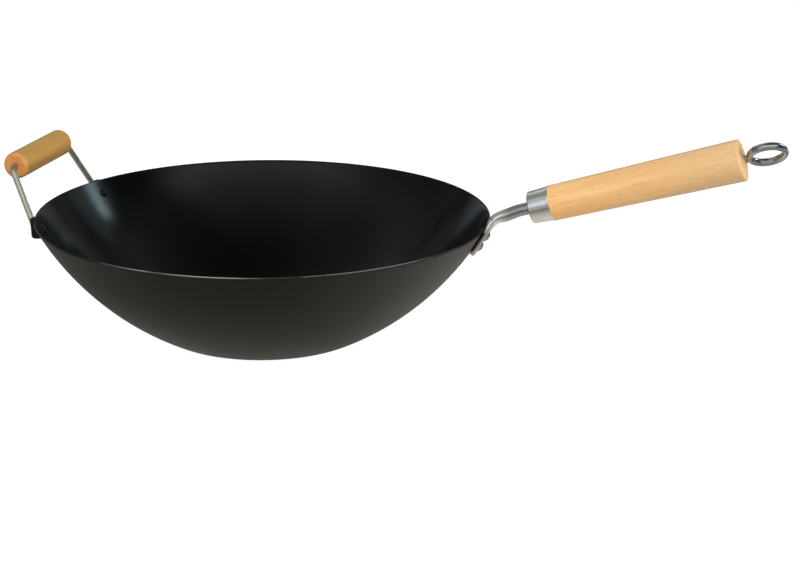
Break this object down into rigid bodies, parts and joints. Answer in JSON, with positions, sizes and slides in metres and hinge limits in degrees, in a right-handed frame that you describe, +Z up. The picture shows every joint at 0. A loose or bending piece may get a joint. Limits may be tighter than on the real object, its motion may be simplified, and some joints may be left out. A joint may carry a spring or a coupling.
{
  "type": "wok",
  "caption": "Flat-bottomed pressed steel wok with a long wooden handle on a bent steel rod, a hanging ring at its end, and a wooden helper grip that turns on a wire.",
  "frame": {"origin": "centre of the underside of the flat base", "axes": "+Z up out of the bowl, +X under the long handle, and the helper grip on the -X side"},
  "size_m": [0.6032, 0.3556, 0.1807],
  "materials": {
    "coated_steel": "near-black baked coating, satin inside and dull outside",
    "chromed_steel": "bright plated",
    "rivet_steel": "plain",
    "wire_steel": "drawn and plated, satin",
    "handle_timber": "turned, sanded and clear lacquered",
    "grip_timber": "turned, sanded and clear lacquered"
  },
  "bodies": {
    "wok": {"wok_body": "coated_steel", "handle_rod": "chromed_steel", "handle_rivet_upper": "rivet_steel", "handle_rivet_lower": "rivet_steel", "handle_ferrule": "chromed_steel", "handle_wood": "handle_timber", "eye_bolt": "chromed_steel", "helper_lug_left": "coated_steel", "helper_lug_right": "coated_steel", "helper_bail": "wire_steel"},
    "grip": {"helper_grip": "grip_timber"}
  },
  "joints": [
    {"name": "grip_spin", "type": "hinge", "parent": "wok", "child": "grip", "pos_m": [-0.1896, 0, 0.13175], "axis": [0, 1, 0], "continuous": true}
  ]
}
